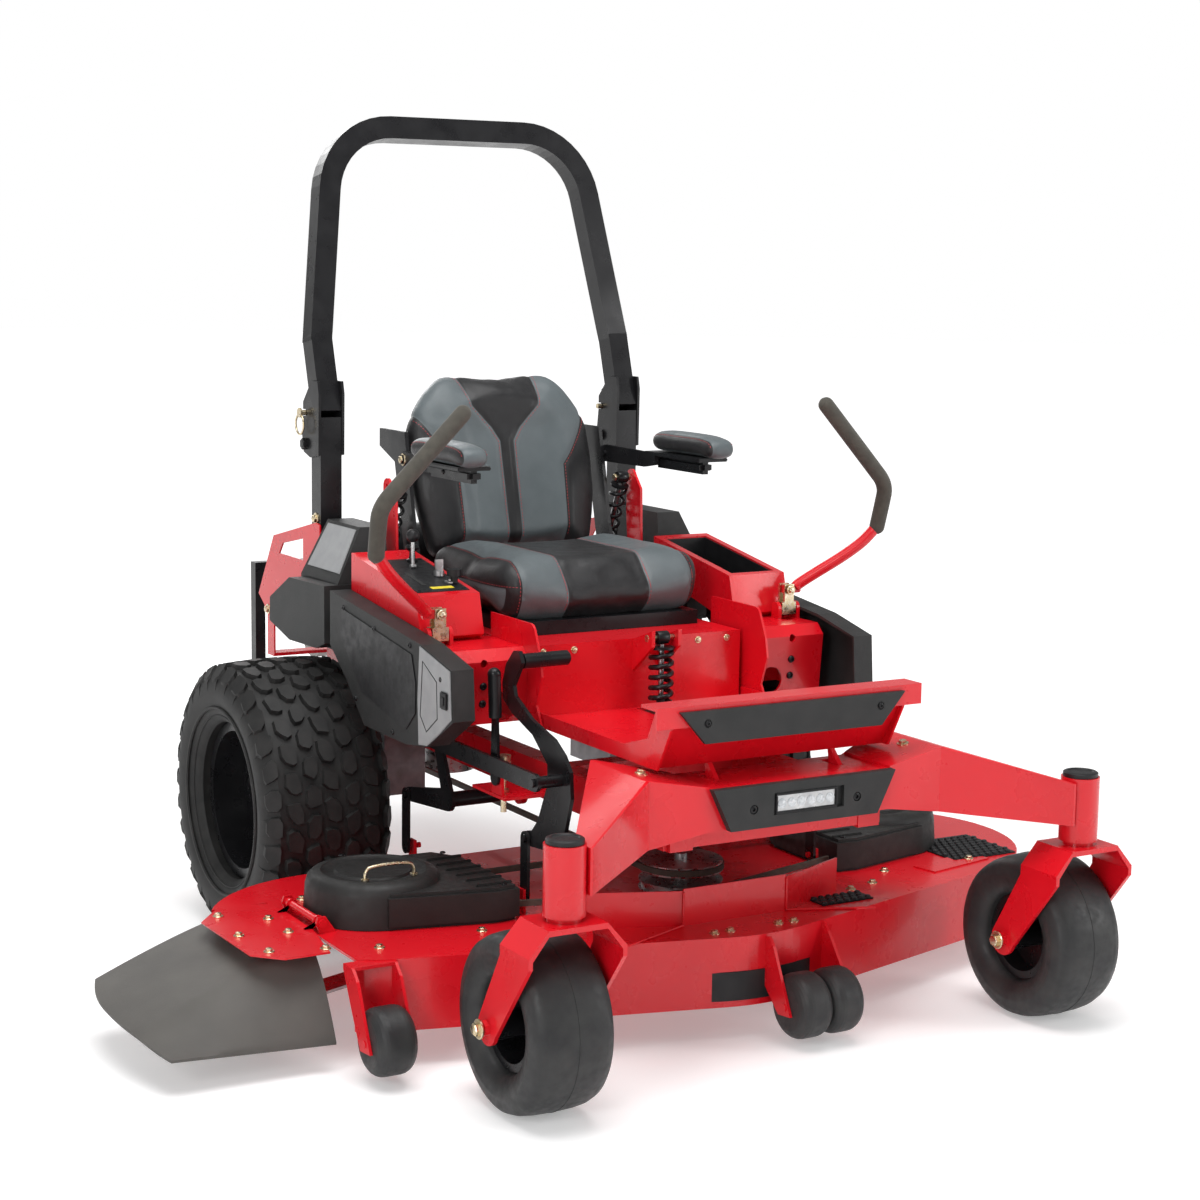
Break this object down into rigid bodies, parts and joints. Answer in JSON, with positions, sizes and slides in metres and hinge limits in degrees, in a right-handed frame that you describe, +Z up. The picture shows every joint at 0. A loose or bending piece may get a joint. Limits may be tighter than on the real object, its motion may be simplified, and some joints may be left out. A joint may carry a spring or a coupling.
{
  "type": "zero turn mower",
  "caption": "Ride-on zero turn mower with wide side-discharge deck, casters ahead, big drive wheels, twin drive levers and a folding roll bar.",
  "frame": {"origin": "ground level, midway between the outermost points of the whole machine", "axes": "+X machine's left, +Y rearward, +Z up"},
  "size_m": [2.0876, 2.122, 1.8007],
  "materials": {
    "red_paint": "gloss powder coat",
    "black_paint": "gloss powder coat",
    "black_plastic": "fine grain",
    "cast_metal": "as cast",
    "steel": "machined",
    "zinc": "yellow zinc plated",
    "tyre": "moulded tread",
    "rubber": "moulded",
    "vinyl": "grained vinyl with stitching"
  },
  "bodies": {
    "chassis": {"main_frame": "red_paint", "carrier_frame": "red_paint", "light_bumper": "black_plastic", "roll_bar_posts": "black_paint", "rear_plates": "red_paint", "engine_guard": "black_paint", "engine_block": "cast_metal", "engine_shroud": "black_paint", "air_cleaner": "black_plastic", "muffler": "steel", "transaxles": "cast_metal", "fuel_tanks": "black_plastic"},
    "wheel_right": {"rear_rim_right": "black_paint", "rear_tyre_right": "tyre"},
    "wheel_left": {"rear_rim_left": "black_paint", "rear_tyre_left": "tyre"},
    "fork_right": {"caster_fork_right": "red_paint"},
    "fork_left": {"caster_fork_left": "red_paint"},
    "caster_right": {"caster_rim_right": "black_paint", "caster_tyre_right": "tyre"},
    "caster_left": {"caster_rim_left": "black_paint", "caster_tyre_left": "tyre"},
    "platform": {"platform_pan": "red_paint", "kick_panel": "black_plastic", "seat_pedestal": "red_paint", "consoles": "red_paint", "side_panels": "black_plastic", "shocks": "black_paint"},
    "seat": {"seat_base": "black_paint", "seat_cushion": "vinyl", "seat_back": "vinyl"},
    "armrest_right": {"armrest_right": "vinyl"},
    "armrest_left": {"armrest_left": "vinyl"},
    "bracket_right": {"lever_bracket_right": "zinc"},
    "bracket_left": {"lever_bracket_left": "zinc"},
    "lever_right": {"lever_right": "red_paint"},
    "lever_left": {"lever_left": "red_paint"},
    "park_brake": {"park_brake_lever": "black_paint"},
    "throttle": {"throttle_lever": "steel"},
    "key": {"ignition_key": "steel"},
    "pto": {"pto_knob": "black_plastic"},
    "deck": {"deck_shell": "red_paint", "belt_covers": "black_plastic", "deck_links": "black_paint", "belt_drive": "rubber"},
    "lift_arm": {"lift_arm": "black_paint"},
    "lift_bar": {"lift_bar": "black_paint"},
    "rear_crank": {"rear_crank": "black_paint"},
    "height_pin": {"height_pin": "zinc"},
    "spindle_right": {"spindle_right": "steel"},
    "spindle_centre": {"spindle_centre": "steel"},
    "spindle_left": {"spindle_left": "steel"},
    "roller_right": {"roller_right": "rubber"},
    "roller_centre": {"roller_centre": "rubber"},
    "chute": {"chute": "red_paint"},
    "crankshaft": {"crank_drive": "steel"},
    "hoop": {"roll_bar_hoop": "black_paint"},
    "lock_pin_right": {"lock_pin_right": "zinc"},
    "lock_pin_left": {"lock_pin_left": "zinc"},
    "fuel_cap": {"fuel_cap": "black_plastic"}
  },
  "joints": [
    {"name": "rear_wheel_right", "type": "hinge", "parent": "chassis", "child": "wheel_right", "pos_m": [-0.53375, 0.331, 0.305], "axis": [1, 0, 0], "continuous": true},
    {"name": "rear_wheel_left", "type": "hinge", "parent": "chassis", "child": "wheel_left", "pos_m": [0.76625, 0.331, 0.305], "axis": [1, 0, 0], "continuous": true},
    {"name": "caster_swivel_right", "type": "hinge", "parent": "chassis", "child": "fork_right", "pos_m": [-0.45875, -0.997, 0.45], "axis": [0, 0, 1], "continuous": true},
    {"name": "caster_wheel_right", "type": "hinge", "parent": "fork_right", "child": "caster_right", "pos_m": [-0.45875, -0.898, 0.163], "axis": [1, 0, 0], "continuous": true},
    {"name": "caster_swivel_left", "type": "hinge", "parent": "chassis", "child": "fork_left", "pos_m": [0.69125, -0.997, 0.45], "axis": [0, 0, 1], "continuous": true},
    {"name": "caster_wheel_left", "type": "hinge", "parent": "fork_left", "child": "caster_left", "pos_m": [0.69125, -0.898, 0.163], "axis": [1, 0, 0], "continuous": true},
    {"name": "platform_tilt", "type": "hinge", "parent": "chassis", "child": "platform", "pos_m": [0.11625, -0.789, 0.5], "axis": [1, 0, 0], "range_deg": [-1.5, 0], "stiffness_Nm_per_rad": 60000, "springref_deg": 2.01, "deforming": ["shocks"]},
    {"name": "seat_slide", "type": "slide", "parent": "platform", "child": "seat", "axis": [0, 1, 0], "range_m": [-0.075, 0.06]},
    {"name": "armrest_flip_right", "type": "hinge", "parent": "seat", "child": "armrest_right", "pos_m": [-0.14375, 0.303, 1.04], "axis": [1, 0, 0], "range_deg": [-95, 0]},
    {"name": "lever_drive_right", "type": "hinge", "parent": "platform", "child": "bracket_right", "pos_m": [-0.30775, -0.199, 0.735], "axis": [1, 0, 0], "range_deg": [-8, 12]},
    {"name": "lever_swing_right", "type": "hinge", "parent": "bracket_right", "child": "lever_right", "pos_m": [-0.30775, -0.199, 0.776], "axis": [0, 1, 0], "range_deg": [0, 22]},
    {"name": "armrest_flip_left", "type": "hinge", "parent": "seat", "child": "armrest_left", "pos_m": [0.37625, 0.303, 1.04], "axis": [1, 0, 0], "range_deg": [-95, 0]},
    {"name": "lever_drive_left", "type": "hinge", "parent": "platform", "child": "bracket_left", "pos_m": [0.54025, -0.199, 0.735], "axis": [1, 0, 0], "range_deg": [-8, 12]},
    {"name": "lever_swing_left", "type": "hinge", "parent": "bracket_left", "child": "lever_left", "pos_m": [0.54025, -0.199, 0.776], "axis": [0, 1, 0], "range_deg": [-22, 0]},
    {"name": "park_brake_pull", "type": "hinge", "parent": "chassis", "child": "park_brake", "pos_m": [-0.26375, -0.369, 0.47], "axis": [1, 0, 0], "range_deg": [0, 30]},
    {"name": "throttle_move", "type": "hinge", "parent": "platform", "child": "throttle", "pos_m": [-0.25375, 0.031, 0.84115], "axis": [1, 0, 0], "range_deg": [-20, 25]},
    {"name": "key_turn", "type": "hinge", "parent": "platform", "child": "key", "pos_m": [-0.22375, -0.032, 0.84], "axis": [0, 0, 1], "range_deg": [0, 60]},
    {"name": "pto_pull", "type": "slide", "parent": "platform", "child": "pto", "axis": [0, 0, 1], "range_m": [0, 0.012]},
    {"name": "deck_lift", "type": "slide", "parent": "chassis", "child": "deck", "axis": [0, 0, 1], "range_m": [0, 0.06]},
    {"name": "lift_arm_turn", "type": "hinge", "parent": "chassis", "child": "lift_arm", "pos_m": [0.11625, -0.614, 0.382], "axis": [1, 0, 0], "range_deg": [0, 18.6]},
    {"name": "rear_crank_turn", "type": "hinge", "parent": "chassis", "child": "rear_crank", "pos_m": [0.11625, -0.166, 0.382], "axis": [1, 0, 0], "range_deg": [0, 18.6]},
    {"name": "lift_bar_turn", "type": "hinge", "parent": "lift_arm", "child": "lift_bar", "pos_m": [-0.27875, -0.562, 0.5], "axis": [1, 0, 0], "range_deg": [-18.6, 0]},
    {"name": "height_pin_pull", "type": "slide", "parent": "chassis", "child": "height_pin", "axis": [0, 0, 1], "range_m": [0, 0.03]},
    {"name": "spindle_centre_spin", "type": "hinge", "parent": "deck", "child": "spindle_centre", "pos_m": [0.11625, -0.459, 0.25], "axis": [0, 0, 1], "continuous": true},
    {"name": "spindle_right_spin", "type": "hinge", "parent": "deck", "child": "spindle_right", "pos_m": [-0.49325, -0.294, 0.23], "axis": [0, 0, 1], "continuous": true},
    {"name": "spindle_left_spin", "type": "hinge", "parent": "deck", "child": "spindle_left", "pos_m": [0.72575, -0.294, 0.23], "axis": [0, 0, 1], "continuous": true},
    {"name": "roller_right_spin", "type": "hinge", "parent": "deck", "child": "roller_right", "pos_m": [-0.63375, -0.662, 0.08], "axis": [1, 0, 0], "continuous": true},
    {"name": "roller_centre_spin", "type": "hinge", "parent": "deck", "child": "roller_centre", "pos_m": [0.19025, -0.845, 0.08], "axis": [1, 0, 0], "continuous": true},
    {"name": "chute_lift", "type": "hinge", "parent": "deck", "child": "chute", "pos_m": [-0.64175, -0.294, 0.228], "axis": [0, 1, 0], "range_deg": [0, 85]},
    {"name": "crank_spin", "type": "hinge", "parent": "chassis", "child": "crankshaft", "pos_m": [0.11625, 0.631, 0.3], "axis": [0, 0, 1], "continuous": true},
    {"name": "hoop_fold", "type": "hinge", "parent": "chassis", "child": "hoop", "pos_m": [0.11625, 0.494, 1.065], "axis": [1, 0, 0], "range_deg": [-100, 0]},
    {"name": "lock_pin_right_pull", "type": "slide", "parent": "hoop", "child": "lock_pin_right", "axis": [-1, 0, 0], "range_m": [0, 0.06]},
    {"name": "lock_pin_left_pull", "type": "slide", "parent": "hoop", "child": "lock_pin_left", "axis": [1, 0, 0], "range_m": [0, 0.06]},
    {"name": "fuel_cap_turn", "type": "hinge", "parent": "chassis", "child": "fuel_cap", "pos_m": [0.57825, 0.448, 0.79], "axis": [0, 0, 1], "range_deg": [0, 90]}
  ],
  "couplings": [
    {"joint": "lift_arm_turn", "follows": "deck_lift", "rad_per_m": 5.381},
    {"joint": "rear_crank_turn", "follows": "deck_lift", "rad_per_m": 5.381},
    {"joint": "lift_bar_turn", "follows": "deck_lift", "rad_per_m": -5.381},
    {"joint": "spindle_right_spin", "follows": "spindle_centre_spin", "ratio": 1},
    {"joint": "spindle_left_spin", "follows": "spindle_centre_spin", "ratio": 1}
  ]
}
